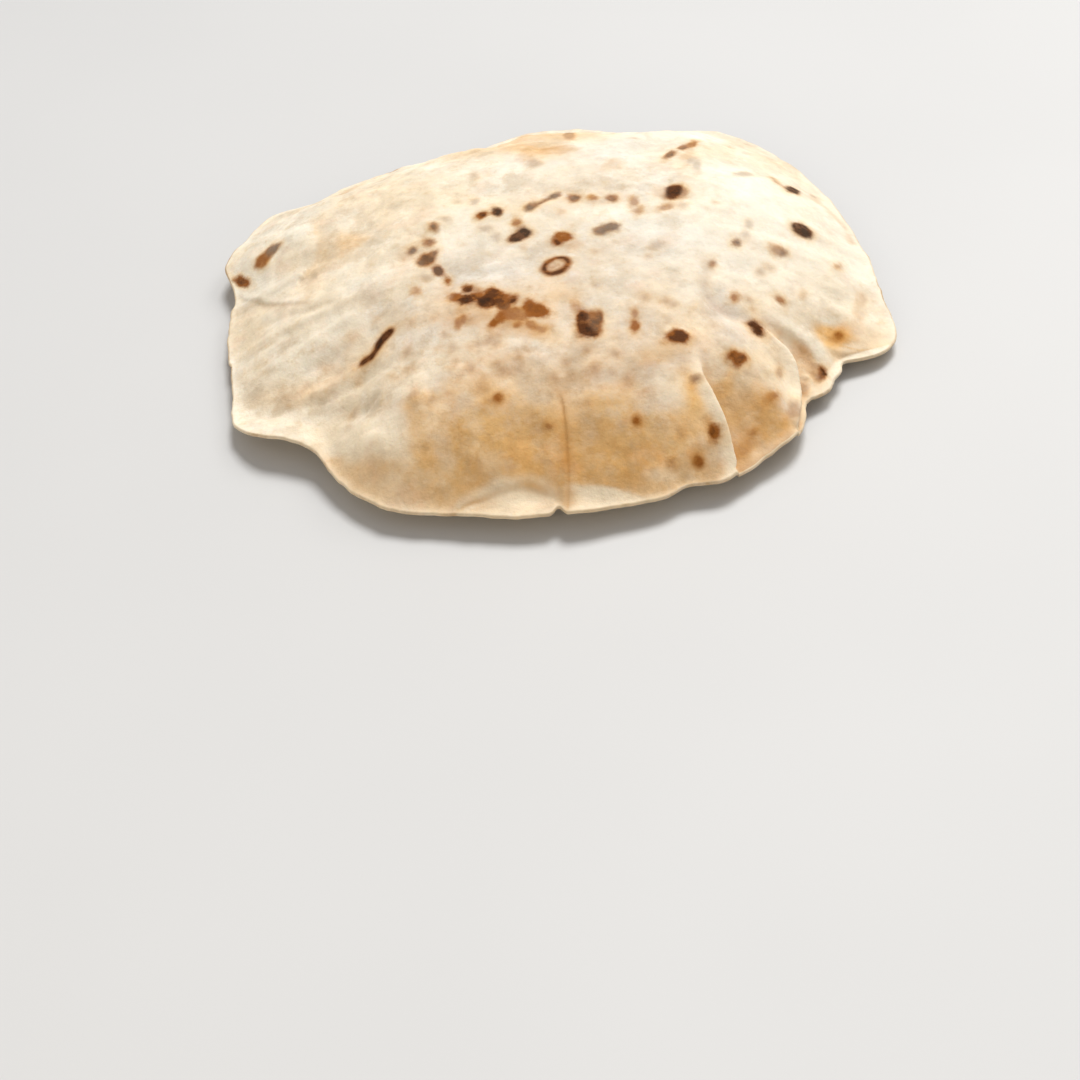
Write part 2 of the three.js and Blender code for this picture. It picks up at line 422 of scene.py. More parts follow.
# Fine wrinkles, by the pixels they run through: mm high (a groove is negative) and mm wide
WRINKLES = [
    ([(238, 402), (300, 384), (360, 350), (404, 312)], -1.7, 6.5),
    ([(238, 414), (290, 409), (345, 411), (400, 421)], -1.3, 2.8),
    ([(240, 438), (290, 450), (345, 464), (425, 469)], 1.3, 5.6),
    ([(243, 384), (300, 350), (372, 304)], 0.5, 1.8),
    ([(240, 366), (292, 336), (345, 306)], -0.45, 1.6),
    ([(246, 352), (300, 325), (360, 296)], 0.45, 1.7),
    ([(252, 404), (318, 362), (366, 334)], -0.4, 1.8),
    ([(262, 416), (330, 386), (398, 342)], 0.5, 2.0),
    ([(290, 412), (350, 386), (420, 352)], -0.5, 1.6),
    ([(358, 414), (372, 402), (384, 388)], -0.6, 0.9),
    ([(740, 463), (760, 456), (778, 447), (791, 432), (799, 412), (802, 392)], 0.5, 0.9),
    ([(799, 379), (805, 374), (812, 380), (813, 390), (807, 398)], 0.9, 0.7),
    ([(704, 272), (706, 298), (722, 312), (745, 313), (762, 320)], -0.7, 2.2),
    ([(250, 420), (300, 404), (340, 392)], -0.4, 1.2),
    ([(250, 335), (290, 318), (330, 306)], -0.35, 1.2),
    ([(806, 388), (813, 381), (822, 368)], 0.5, 0.9),
    ([(762, 320), (780, 338), (798, 360), (812, 380)], -0.4, 2.0),
    ([(527, 209), (541, 203), (556, 198)], -0.25, 0.7),
    ([(455, 517), (500, 503), (537, 488)], 0.35, 1.6),
    ([(572, 488), (612, 498), (650, 499)], 0.35, 1.6),
]
WRINKLE_ENDS = 0.3  # share of a wrinkle's length in which it rises and fades at its ends

# Soft swellings and hollows: the pixel in their middle, mm long and wide, turn in the plan, mm up
SWELLINGS = {
    "left valley": ((364, 240), 26, 7, 75, -1.5),
    "back left hollow": ((320, 252), 8, 5, 20, -1.0),
    "back left knob": ((296, 236), 6, 4, 30, 0.6),
    "right dimple": ((839, 334), 5.5, 5, 0, -1.2),
    "round hollow": ((728, 300), 7.5, 7, 0, -0.9),
    "front left swelling": ((440, 440), 26, 12, 15, 1.0),
    "tuck by the right pleat": ((806, 387), 1.5, 3.0, 0, 1.4),
    "back right swelling": ((690, 200), 26, 18, 40, 1.2),
    "ring blister": ((556, 265), 3.6, 2.6, 20, 0.5),
    "ring blister middle": ((556, 265), 2.2, 1.4, 20, -0.5),
}


def swelling_heights(x, y):
    total = np.zeros(np.shape(x))
    for pixel, long, wide, turn, up in SWELLINGS.values():
        middle = cast(pixel)[0]
        dx, dy = x - middle[0], y - middle[1]
        c, s = np.cos(np.radians(turn)), np.sin(np.radians(turn))
        total += up * np.exp(-(((c * dx + s * dy) / long) ** 2) - ((c * dy - s * dx) / wide) ** 2)
    return total


def wrinkle_heights(x, y):
    total = np.zeros(np.shape(x))
    for pixels, up, width in WRINKLES:
        signed, along, _ = beside(x, y, rounded(cast(pixels)))
        ends = smooth(along, 0, WRINKLE_ENDS) * smooth(1 - along, 0, WRINKLE_ENDS)
        total += up * ends * np.exp(-((signed / width) ** 2))
    return total


def skin_heights(x, y):
    """Random unevenness of the baked skin, from broad sags down to small blisters."""
    high, cell, seed, start, whole = BLISTERS
    blisters = smooth(noise(x, y, cell, seed), start, whole) * high
    out = SAG_RADIUS + np.hypot(x, y) / SAG_STRETCH
    sags = layered(*polar(out, direction_of(x, y)), [SAGS]) * smooth(np.hypot(x, y), *SAGS_START)
    return layered(x, y, SKIN_UNEVEN) + blisters + sags


def top_points(x, y):
    """The top's points above places of the plan: x, y and z, as pleats lean to the side."""
    dome, share = dome_height(x, y)
    inner = smooth(share, 0, BRIM_SHARE)
    aside, pleats = pleat_shapes(x, y)
    shaped = pleats + swelling_heights(x, y) + skin_heights(x, y)
    z = dome + (BRIM_UNEVENNESS + (1 - BRIM_UNEVENNESS) * inner) * shaped
    z += (BRIM_WRINKLES + (1 - BRIM_WRINKLES) * inner) * wrinkle_heights(x, y)
    aside *= smooth(edge_radius(direction_of(x, y)) - np.hypot(x, y), *LEAN_FADE)
    return np.stack([x + aside[0], y + aside[1], z], 1)


def under_height(share, rim_low):
    """The underside: flat in the middle, then lifting to the rim's lower edge."""
    past = np.clip((share - FLAT_SHARE) / (1 - FLAT_SHARE), 0, 1)
    return rim_low * past**UNDER_CURVE


# -------- charred and browned spots, and a few marks of painted shade

# Spots by the pixel in their middle, half length, half width and turn, if any, in the
# photograph's pixels and degrees. Each kind has its own depth of colour.
SPOTS = {
    "sooty": [
        (802, 231, 12, 5, -30), (793, 191, 8, 4, -12), (519, 236, 12, 5, 14), (523, 232, 6, 5),
        (497, 213, 6, 4, 5),
    ],
    "dark": [
        (468, 288, 6, 5, 20), (467, 301, 10, 7, -5), (486, 304, 11, 7), (512, 300, 6, 5),
        (673, 196, 11, 7, 5), (753, 323, 7, 5, -45), (758, 330, 7, 5, -45), (583, 320, 7, 9),
        (584, 327, 8, 8), (587, 329, 8, 7), (591, 333, 9, 5),
    ],
    "charred": [
        (477, 297, 8, 6), (493, 294, 9, 7), (502, 300, 8, 7), (677, 338, 12, 8, -6),
        (482, 217, 6, 3, 20), (557, 240, 6, 4),
    ],
    "singed": [
        (592, 320, 8, 9), (599, 317, 4, 6), (596, 329, 5, 6), (438, 270, 7, 5, -40),
        (427, 259, 8, 6, 10),
    ],
    "worn": [
        (429, 242, 6, 4), (780, 298, 5, 3, -45), (711, 266, 5, 4), (434, 229, 5, 4), (574, 199, 7, 4),
        (612, 200, 6, 4), (670, 156, 6, 3, 15), (682, 149, 5, 3, 25), (270, 251, 7, 4, 50),
        (421, 262, 5, 4), (433, 254, 5, 3, 30),
    ],
    "brown": [
        (538, 311, 12, 7, -10), (529, 308, 7, 9), (494, 325, 7, 4, 35), (502, 318, 6, 5, 45),
        (563, 236, 9, 5), (447, 279, 3, 3), (455, 297, 7, 5),
    ],
    "umber": [
        (714, 436, 5, 7, 20), (821, 373, 6, 8, -20), (739, 361, 8, 7, -30), (733, 356, 5, 4),
        (242, 282, 8, 5, -15), (504, 307, 7, 6),
    ],
    "rust": [
        (635, 326, 5, 7), (636, 419, 5, 6), (698, 463, 6, 6), (498, 400, 6, 6), (838, 332, 6, 6),
        (262, 261, 10, 6, 50),
    ],
    "toast": [
        (517, 223, 5, 4), (515, 315, 12, 8), (517, 328, 6, 5), (532, 327, 7, 6), (774, 399, 7, 5),
        (457, 324, 4, 5), (464, 320, 5, 4), (734, 296, 5, 5), (692, 145, 6, 3, 15), (592, 200, 6, 3),
    ],
    "tawny": [
        (541, 329, 6, 4), (452, 297, 5, 4), (477, 291, 5, 4), (663, 197, 4, 4), (684, 199, 4, 4),
        (634, 204, 5, 5, -20), (638, 213, 6, 5), (777, 250, 8, 4, -28), (672, 465, 4, 4),
        (549, 425, 4, 3), (753, 427, 4, 4), (472, 320, 5, 4), (666, 211, 7, 3, 10), (575, 306, 4, 4),
        (635, 313, 3, 5), (416, 293, 5, 4, 20), (837, 268, 4, 3),
    ],
    "smoky": [
        (695, 381, 4, 4), (412, 251, 5, 3, 15), (782, 252, 4, 3, -28), (736, 244, 4, 4),
        (600, 232, 8, 4), (612, 229, 8, 4, 8), (275, 248, 6, 3, 42), (531, 208, 6, 3, 25),
        (555, 197, 6, 3, 20),
    ],
    "olive": [
        (569, 135, 6, 4), (805, 389, 4, 7), (792, 411, 4, 8), (779, 376, 3, 4),
    ],
    "faint": [
        (649, 391, 6, 5), (352, 334, 6, 4, 30), (325, 362, 5, 4), (803, 293, 3, 3), (861, 300, 5, 6),
        (860, 314, 5, 6), (613, 166, 9, 5, 10), (522, 332, 16, 5), (687, 157, 7, 4, 20),
        (408, 368, 5, 3, 20), (394, 376, 4, 3), (470, 347, 5, 4), (503, 376, 5, 4), (440, 348, 4, 3),
        (556, 150, 20, 5, 5), (660, 196, 8, 6), (450, 322, 6, 5), (480, 318, 14, 7), (574, 244, 8, 5),
    ],
    "ash": [
        (426, 278, 5, 3), (485, 229, 6, 3), (496, 238, 4, 4), (746, 235, 3, 3), (474, 202, 4, 4),
        (533, 165, 7, 4), (446, 221, 5, 3), (474, 176, 4, 3), (761, 270, 4, 3), (657, 247, 8, 4, 10),
        (749, 224, 3, 3), (457, 201, 3, 2), (744, 177, 9, 3), (697, 167, 4, 6), (691, 163, 5, 3, 30),
    ],
    # A soft tan patch of painted shade beside the front right pleat
    "stripe": [(744, 443, 8, 12, -15)],
}

# Streaks and rings by the pixels they run through, half width in mm, and kind
RING_SPOT = [
    (556, 258), (547, 262), (543, 269), (549, 274), (561, 272), (569, 265), (566, 258), (556, 258),
]
STREAKS = [
    ([(364, 357), (373, 350), (378, 341), (386, 331)], 1.15, "line"),
    ([(382, 336), (388, 330)], 1.7, "line"),
    ([(364, 357), (370, 354)], 1.4, "line"),
    ([(528, 209), (538, 205), (549, 199), (559, 196)], 0.62, "scorch"),
    (RING_SPOT, 0.85, "ring"),
    ([(551, 268), (557, 266), (562, 262)], 0.35, "tawny"),
    ([(773, 180), (780, 187), (790, 191), (798, 192)], 0.6, "tawny"),
    ([(742, 467), (760, 461), (778, 452), (792, 441)], 1.3, "stripe"),
    ([(804, 352), (810, 360), (815, 368), (817, 376)], 1.1, "stripe"),
    # Painted shade along the front pleat's crease
    ([(561, 390), (563, 404), (566, 424), (568, 450), (569, 478), (569, 505)], 0.9, "faint"),
    ([(816, 201), (832, 213), (846, 229), (852, 243)], 0.5, "faint"),
    # Painted shade along the curved crease by the round hollow
    ([(707, 262), (704, 285), (712, 304), (728, 313), (745, 313)], 1.3, "shade"),
]

# How burnt a kind is, from toasted 0 to black 1, how much of the dough it hides, how ashen it is
# and how ragged
KINDS = {
    "dark": (0.75, 0.98, 0.0, 0.7),
    "charred": (0.54, 0.97, 0.0, 0.7),
    "line": (0.80, 0.98, 0.0, 0.3),
    "ring": (0.66, 0.97, 0.0, 0.25),
    "umber": (0.45, 0.95, 0.0, 0.8),
    "brown": (0.35, 0.96, 0.0, 0.8),
    "rust": (0.25, 0.92, 0.0, 0.5),
    "toast": (0.22, 0.80, 0.0, 0.8),
    "singed": (0.58, 0.88, 0.0, 0.4),
    "worn": (0.54, 0.80, 0.0, 0.6),
    "sooty": (0.92, 0.96, 0.05, 0.6),
    "olive": (0.42, 0.50, 0.2, 0.7),
    "stripe": (0.20, 0.45, 0.0, 0.6),
    "shade": (0.30, 0.20, 0.6, 0.6),
    "tawny": (0.24, 0.62, 0.0, 0.8),
    "smoky": (0.60, 0.82, 0.5, 0.7),
    "scorch": (0.66, 0.85, 0.3, 0.3),
    "freckle": (0.30, 0.34, 0.2, 0.8),
    "faint": (0.12, 0.28, 0.0, 1.0),
    "ash": (0.45, 0.38, 0.8, 0.8),
}
TONES = ("burnt", "cover", "ashen", "ragged")

# Small freckles: the pixel in their middle, how far they scatter in pixels, and how many
FRECKLES = [((480, 356), (55, 22), 34), ((560, 385), (90, 20), 16), ((640, 260), (90, 50), 22)]
FRECKLE_SIZE = (0.4, 1.1)

# More spots on the back slope, where the photograph shows little, and all over the underside: how
# many, from and to which direction and mm inwards or share of the radius, mm in radius, and kinds
BACK_SPOTS = 12
BACK_DIRECTIONS = (62, 128)
BACK_INWARDS = (3, 15)
BACK_SIZE = (0.8, 2.2)
BACK_KINDS = ["charred", "brown", "tawny", "smoky"]
UNDER_SPOTS = 46
UNDER_REACH = 0.85
UNDER_SIZE = (1.0, 3.0)
UNDER_KINDS = ["dark", "umber", "brown", "toast", "tawny", "faint"]

# How far outside a spot its field stops and how deep inside, and over how much neighbouring spots
# run into each other, in mm
FAR_OUTSIDE = -6.0
DEEP_INSIDE = 4.0
BLEND = 0.45
NO_SPOT = 1e-12  # the weight of the plain dough


def round_spot(x, y, place, size):
    return size - np.hypot(x - place[0], y - place[1])


def spot_depths(x, y):
    """For each spot of the top, how deep in mm the points lie inside it, and its kind."""
    for kind, spots in SPOTS.items():
        for ellipse in spots:
            share, size = in_ellipse(x, y, *ellipse)
            yield (1 - share) * size, kind
    for pixels, half, kind in STREAKS:
        yield half - np.abs(beside(x, y, rounded(cast(pixels)))[0]), kind
    random = np.random.RandomState(8)
    for middle, spread, count in FRECKLES:
        for _ in range(count):
            place = cast(random.normal(middle, spread))[0]
            yield round_spot(x, y, place, random.uniform(*FRECKLE_SIZE)), "freckle"
    for _ in range(BACK_SPOTS):
        direction = random.uniform(*BACK_DIRECTIONS)
        place = polar(edge_radius(direction) - random.uniform(*BACK_INWARDS), direction)
        size = random.uniform(*BACK_SIZE)
        yield round_spot(x, y, place, size), random.choice(BACK_KINDS)


def under_spot_depths(x, y):
    """The same for the underside, which lay on the griddle too."""
    random = np.random.RandomState(9)
    for _ in range(UNDER_SPOTS):
        direction = random.uniform(0, TURN)
        share = random.uniform(0, UNDER_REACH) ** 0.5
        place = polar(edge_radius(direction) * share, direction)
        size = random.uniform(*UNDER_SIZE)
        yield round_spot(x, y, place, size), random.choice(UNDER_KINDS)


def spot_fields(x, y, depths):
    """Depth inside the spots in mm, and the tones of the dough there."""
    total = np.full(np.shape(x), NO_SPOT)
    tones = [np.zeros(np.shape(x)) for _ in TONES]
    for depth, kind in depths(x, y):
        weight = np.exp(np.clip(depth, FAR_OUTSIDE, DEEP_INSIDE) / BLEND)
        total += weight
        for tone, value in zip(tones, KINDS[kind]):
            tone += weight * value
    fields = {name: tone / total for name, tone in zip(TONES, tones)}
    fields["spot"] = np.maximum(BLEND * np.log(total), FAR_OUTSIDE)
    return fields


# -------- zones of the crust

# Zones of tan crust, partly toasting and partly painted warm shade on the shaded front shoulder: pixel,
# half length and half width in pixels, strength, and turn, if any
TAN_AND_SHADE_ZONES = [
    (540, 400, 290, 120, 0.32), (350, 474, 44, 16, 0.3, -42), (690, 430, 36, 50, 0.55, -20),
    (540, 376, 140, 34, 0.3), (680, 395, 30, 24, 0.4), (350, 460, 34, 8, 0.2, -20),
    (862, 338, 30, 20, 0.25), (402, 422, 18, 12, 0.5), (692, 393, 14, 18, 0.6),
    (848, 240, 14, 40, 0.25), (450, 394, 24, 10, 0.2), (595, 393, 34, 10, 0.75),
    (650, 350, 32, 14, 0.45), (536, 328, 34, 12, 0.35), (545, 284, 30, 14, 0.3),
    (482, 452, 88, 54, 0.6, -4), (545, 448, 110, 56, 0.7), (628, 440, 62, 50, 0.75),
    (470, 405, 60, 24, 0.3, -8), (560, 418, 150, 56, 0.3, 4), (600, 478, 76, 30, 0.2, 5),
    (405, 474, 60, 32, 0.2, -30), (757, 420, 32, 38, 0.9, 15), (540, 430, 160, 40, 0.5),
    (765, 442, 42, 26, 1.0, 20), (770, 432, 26, 22, 0.6, 20), (726, 396, 10, 34, 0.7, -22),
    (845, 349, 18, 25, 1.0), (842, 348, 15, 19, 0.9), (833, 339, 13, 13, 0.9), (606, 380, 34, 12, 0.6),
    (607, 402, 26, 14, 0.5), (688, 370, 24, 14, 0.3), (470, 298, 54, 26, 0.3),
    (700, 472, 44, 18, 0.6, 14), (300, 378, 44, 20, 0.3, 15), (360, 352, 40, 14, 0.2, 25),
    (340, 242, 22, 13, 0.5, 20), (545, 146, 44, 12, 0.6), (425, 420, 50, 20, 0.35, 10),
    (400, 330, 60, 40, 0.12), (862, 356, 18, 4, 0.5, 4), (846, 376, 12, 7, 0.3),
    (690, 166, 16, 8, 0.2, 20), (510, 306, 60, 30, 0.4), (345, 372, 60, 34, 0.1, 20),
]

# Places painted pale, with flour and with painted highlights where the light catches them: the lips of
# the brim, the folds' crests and the lit back right of the dome
PALE_ZONES = [
    (525, 503, 34, 11, 0.95, 6), (462, 513, 30, 5, 0.7, 6), (608, 504, 40, 11, 0.9, -4),
    (604, 495, 34, 10, 0.8, -4), (664, 388, 22, 18, 0.5, -10), (655, 457, 20, 9, 0.3),
    (275, 424, 58, 10, 0.15, -3), (366, 440, 36, 14, 1.0, 2), (384, 455, 28, 14, 0.6),
    (598, 485, 36, 9, 0.9, -4), (340, 438, 30, 12, 0.9, 6), (356, 310, 44, 20, 0.6),
    (368, 382, 22, 16, 0.5), (455, 238, 26, 24, 0.8), (474, 232, 44, 26, 0.7), (256, 278, 24, 30, 0.7),
    (690, 306, 28, 14, 0.8), (275, 292, 50, 16, 0.6), (600, 216, 90, 18, 0.5),
    (449, 446, 10, 24, 0.2, 10), (795, 385, 5, 40, 0.7, -5), (495, 470, 14, 12, 0.2),
    (775, 222, 120, 96, 1.0, -30), (650, 135, 110, 22, 0.5),
]

# Where the dough is a little greyer and darker than elsewhere: partly greyer dough, partly painted
# shade on the front shoulder and on the slopes beside the right pleats
DULL_AND_SHADE_ZONES = [
    (439, 398, 34, 18, 0.8), (399, 424, 22, 14, 0.8), (741, 336, 24, 16, 0.7), (690, 304, 30, 16, 0.6),
    (738, 356, 28, 14, 0.4), (560, 270, 200, 70, 0.7), (560, 365, 130, 40, 0.8),
    (440, 300, 100, 60, 0.2), (600, 180, 110, 22, 0.45), (600, 148, 90, 14, 0.6),
    (612, 404, 60, 30, 0.75), (655, 358, 56, 26, 0.95), (732, 320, 24, 20, 0.9),
    (846, 350, 17, 20, 0.9), (560, 410, 140, 26, 0.85), (632, 322, 32, 20, 0.8),
    (755, 425, 50, 45, 0.9), (450, 325, 60, 26, 0.4),
]
WARM_SHADE_FRONT = (15.0, 45.0)  # mm in front of the middle, between which the flour's colour turns warm, as painted warm shade on the shaded front

# A zone fades between these shares of its radius, and its border wanders by layers of noise
ZONE_FADE = (0.35, 1.35)
WANDER_X = [(2.0, 9, 33), (4.0, 21, 36)]
WANDER_Y = [(2.0, 9, 34), (4.0, 21, 37)]

# Painted shade, in the tan of the crust, along the low side of a fold, by pleat: strength, and reach in
# mm to the left of its line, or to the right where it is negative
FOLD_SHADES = {
    "front pleat": (0.4, -1.2),
    "front right pleat": (1.0, 4.4),
    "right pleat": (0.5, 3.0),
    "right flap": (0.3, -3.0),
    "right corner pleat": (0.6, 1.2),
    "left knob": (0.4, 6.0),
    "left pleat": (0.3, 1.5),
    "lip fold": (0.5, 1.4),
}
# mm to the low side at which that painted shade starts and is whole, and the share of the reach on top
FOLD_SHADE_RISE = (-0.5, 0.1, 0.2)

# Flour with a painted highlight on the crests of the folds, by pleat: strength, how far off its line
# and how wide, in mm
CREST_HIGHLIGHTS = {
    "front pleat": (0.05, 1.2, 0.8),
    "left knob": (0.2, -4.0, 3.5),
    "front right pleat": (1.0, -1.1, 1.5),
    "right pleat": (0.65, -0.9, 0.9),
    "right flap": (0.5, 2.4, 1.4),
    "lip fold": (0.3, -1.0, 0.9),
    "right corner pleat": (0.5, -1.2, 1.0),
}

# Shares of a pleat's length over which its painted shade and its flour with painted highlight come in
FOLD_SHADE_START = 0.3
CREST_HIGHLIGHT_START = 0.2

# How strongly the flour shows on the rim, and the flour with painted highlights in the pale zones and
# on the crests. On the rim it fades between two distances from the edge in mm, and lies where a noise
# (mm across, seed) is high.
RIM_FLOUR, ZONE_FLOUR_AND_HIGHLIGHT, CREST_FLOUR_AND_HIGHLIGHT = 0.5, 0.7, 0.85
RIM_FADE = (0.3, 2.2)
RIM_NOISE = (5, 35)
RIM_PATCHES = (-0.6, 0.2)

# Tan patches behind, where the photograph shows little: strength, middle direction and half width,
# the shares of the radius between which they come in and fade out, and their noise
BEHIND_TAN = 0.45
BEHIND = (90, 95)
SHOULDER_IN = (0.45, 0.75)
SHOULDER_OUT = (0.9, 1.0)
BEHIND_NOISE = [(1.0, 22, 31), (0.5, 9, 32)]
BEHIND_PATCHES = (-0.2, 0.7)


def zone_field(x, y, zones):
    x = x + layered(x, y, WANDER_X)
    y = y + layered(x, y, WANDER_Y)
    left = np.ones(np.shape(x))
    for px, py, long, wide, strength, *turn in zones:
        share, _ = in_ellipse(x, y, px, py, long, wide, *turn)
        left *= 1 - strength * (1 - smooth(share, *ZONE_FADE))
    return 1 - left


def beside_pleat(x, y, name):
    signed, along, _ = beside(x, y, rounded(cast(PLEATS[name][0])))
    return signed, along


# Flour with a painted highlight along the crests of the folds
def crest_highlight_field(x, y):
    left = np.ones(np.shape(x))
    for name, (strength, off, wide) in CREST_HIGHLIGHTS.items():
        signed, along = beside_pleat(x, y, name)
        near = np.exp(-(((signed - off) / wide) ** 2))
        left *= 1 - strength * near * smooth(along, 0, CREST_HIGHLIGHT_START)
    return 1 - left


# Painted shade along the low sides of the folds
def fold_shade_field(x, y):
    left = np.ones(np.shape(x))
    starts, whole, more = FOLD_SHADE_RISE
    for name, (strength, reach) in FOLD_SHADES.items():
        signed, along = beside_pleat(x, y, name)
        low_side = signed * np.sign(reach)
        fade = np.exp(-np.maximum(low_side, 0) / abs(reach))
        near = smooth(low_side, starts, whole + more * abs(reach)) * fade
        left *= 1 - strength * near * smooth(along, 0, FOLD_SHADE_START)
    return 1 - left


# Flour on the rim, and flour with painted highlights in the pale zones and on the crests
def pale_field(x, y):
    inwards = edge_radius(direction_of(x, y)) - np.hypot(x, y)
    patchy = smooth(noise(x, y, *RIM_NOISE), *RIM_PATCHES)
    rim = RIM_FLOUR * (1 - smooth(inwards, *RIM_FADE)) * patchy
    zones = ZONE_FLOUR_AND_HIGHLIGHT * zone_field(x, y, PALE_ZONES)
    return 1 - (1 - rim) * (1 - zones) * (1 - CREST_FLOUR_AND_HIGHLIGHT * crest_highlight_field(x, y))


# The tan crust: toasting, with painted warm shade on the shaded front and along the folds
def tan_and_shade_field(x, y):
    direction = direction_of(x, y)
    share = np.hypot(x, y) / edge_radius(direction)
    middle, half = BEHIND
    shoulder = smooth(share, *SHOULDER_IN) * (1 - smooth(share, *SHOULDER_OUT))
    patchy = smooth(layered(x, y, BEHIND_NOISE), *BEHIND_PATCHES)
    behind = BEHIND_TAN * bump(direction, middle, half, half) * shoulder * patchy
    seen = zone_field(x, y, TAN_AND_SHADE_ZONES) * (1 - zone_field(x, y, PALE_ZONES))
    zones = 1 - (1 - np.maximum(seen, behind)) * (1 - fold_shade_field(x, y))
    return zones * (1 - crest_highlight_field(x, y))


# -------- the mesh

TOP_SPACING = 0.57
UNDER_SPACING = 1.5
LIP_STEPS = 6
FEWEST = 7  # points of a ring
# The underside's unevenness: mm high, mm across, seed, and the share of the radius by which it has
# come in from the edge
UNDER_UNEVEN = (0.12, 9, 21, 0.3)
# Where the points of a ring lie closer together: direction, half width, how much closer
FINE_SECTORS = {"front": (280, 60, 0.35), "front pleat": (268, 4, 0.8), "right pleats": (312, 20, 0.9)}
ALL_DIRECTIONS = np.linspace(0, TURN, 4 * int(TURN) + 1)
POINTS_BEFORE = np.cumsum(with_bumps(1.0, FINE_SECTORS, ALL_DIRECTIONS))
POINTS_BEFORE = (POINTS_BEFORE - POINTS_BEFORE[0]) / (POINTS_BEFORE[-1] - POINTS_BEFORE[0])


def ring(count, phase):
    """Directions of a ring's points."""
    return np.interp((np.arange(count) + phase) / count, POINTS_BEFORE, ALL_DIRECTIONS)


def stitch(faces, inner, outer, inner_directions, outer_directions):
    """Triangles between two rings of points, which may differ in number."""
    i = j = 0
    n, m = len(inner), len(outer)
    start = int(np.argmin(np.abs(turn_between(outer_directions, inner_directions[0]))))
    unrolled_in = inner_directions[0] + turn_between(inner_directions, inner_directions[0]) % TURN
    order = (start + np.arange(m)) % m
    first = inner_directions[0] + turn_between(outer_directions[start], inner_directions[0])
    unrolled_out = first + (outer_directions[order] - outer_directions[start]) % TURN
    while i < n or j < m:
        next_in = unrolled_in[i + 1] if i + 1 < n else unrolled_in[0] + TURN
        next_out = unrolled_out[j + 1] if j + 1 < m else unrolled_out[0] + TURN
        a, b = inner[i % n], outer[order[j % m]]
        if j >= m or (i < n and next_in < next_out):
            faces.append((a, b, inner[(i + 1) % n]))
            i += 1
        else:
            faces.append((a, b, outer[order[(j + 1) % m]]))
            j += 1


def ring_shares(spacing):
    count = int(round(MEAN_RADIUS / spacing))
    return np.arange(1, count + 1) / count


def ring_count(share, spacing):
    return max(FEWEST, int(round(2 * np.pi * MEAN_RADIUS * share / spacing)))


def bread_mesh():
    """Points in mm and triangles of the closed bread: top rings outwards, the rounded lip, and
    under rings inwards. Also the points' places in the plan, and how many are of the top."""
    random = np.random.RandomState(5)
    points = [np.zeros((1, 3))]
    rings = []

    def add(x, y, z, directions):
        rings.append((sum(map(len, points)) + np.arange(len(x)), directions))
        points.append(np.stack([x, y, z], 1))

    for share in ring_shares(TOP_SPACING):
        directions = ring(ring_count(share, TOP_SPACING), random.uniform())
        x, y = polar((edge_radius(directions) - HALF_LIP) * share, directions)
        add(x, y, 0 * x, directions)
    plan = np.concatenate(points)
    top = top_points(plan[:, 0], plan[:, 1])
    points = [plan]
    rim, rim_directions = rings[-1]
    rim_z = top[rim, 2]
    for step in range(1, LIP_STEPS):
        angle = np.pi / 2 - np.pi * step / LIP_STEPS
        radius = edge_radius(rim_directions) - HALF_LIP + HALF_LIP * np.cos(angle)
        x, y = polar(radius, rim_directions)
        add(x, y, rim_z - HALF_LIP + HALF_LIP * np.sin(angle), rim_directions)
    high, cell, seed, come_in = UNDER_UNEVEN
    for share in ring_shares(UNDER_SPACING)[::-1]:
        directions = rim_directions
        if share < 1:
            directions = ring(ring_count(share, UNDER_SPACING), random.uniform())
        x, y = polar((edge_radius(directions) - HALF_LIP) * share, directions)
        within = smooth(1 - share, 0, come_in) * smooth(share, FLAT_SHARE / 2, FLAT_SHARE)
        uneven = high * (1 + noise(x, y, cell, seed)) * within
        rim_low = np.interp(directions % TURN, rim_directions, rim_z - LIP, period=TURN)
        add(x, y, under_height(share, rim_low) + uneven, directions)
    last = sum(map(len, points))
    points.append(np.zeros((1, 3)))

    first_ring, last_ring = rings[0][0], rings[-1][0]
    faces = [(0, a, b) for a, b in zip(first_ring, np.roll(first_ring, -1))]
    for (inner, inner_directions), (outer, outer_directions) in zip(rings[:-1], rings[1:]):
        if len(inner) == len(outer):
            next_inner, next_outer = np.roll(inner, -1), np.roll(outer, -1)
            faces += list(zip(inner, outer, next_outer)) + list(zip(inner, next_outer, next_inner))
        elif len(inner) < len(outer):
            stitch(faces, inner, outer, inner_directions, outer_directions)
        else:
            turned = []
            stitch(turned, outer, inner, outer_directions, inner_directions)
            faces += [(a, c, b) for a, b, c in turned]
    faces += [(a, last, b) for a, b in zip(last_ring, np.roll(last_ring, -1))]
    plan = np.concatenate(points)
    points = np.concatenate([top, plan[len(top):]])
    return points, np.array(faces), plan[:, :2], len(top)


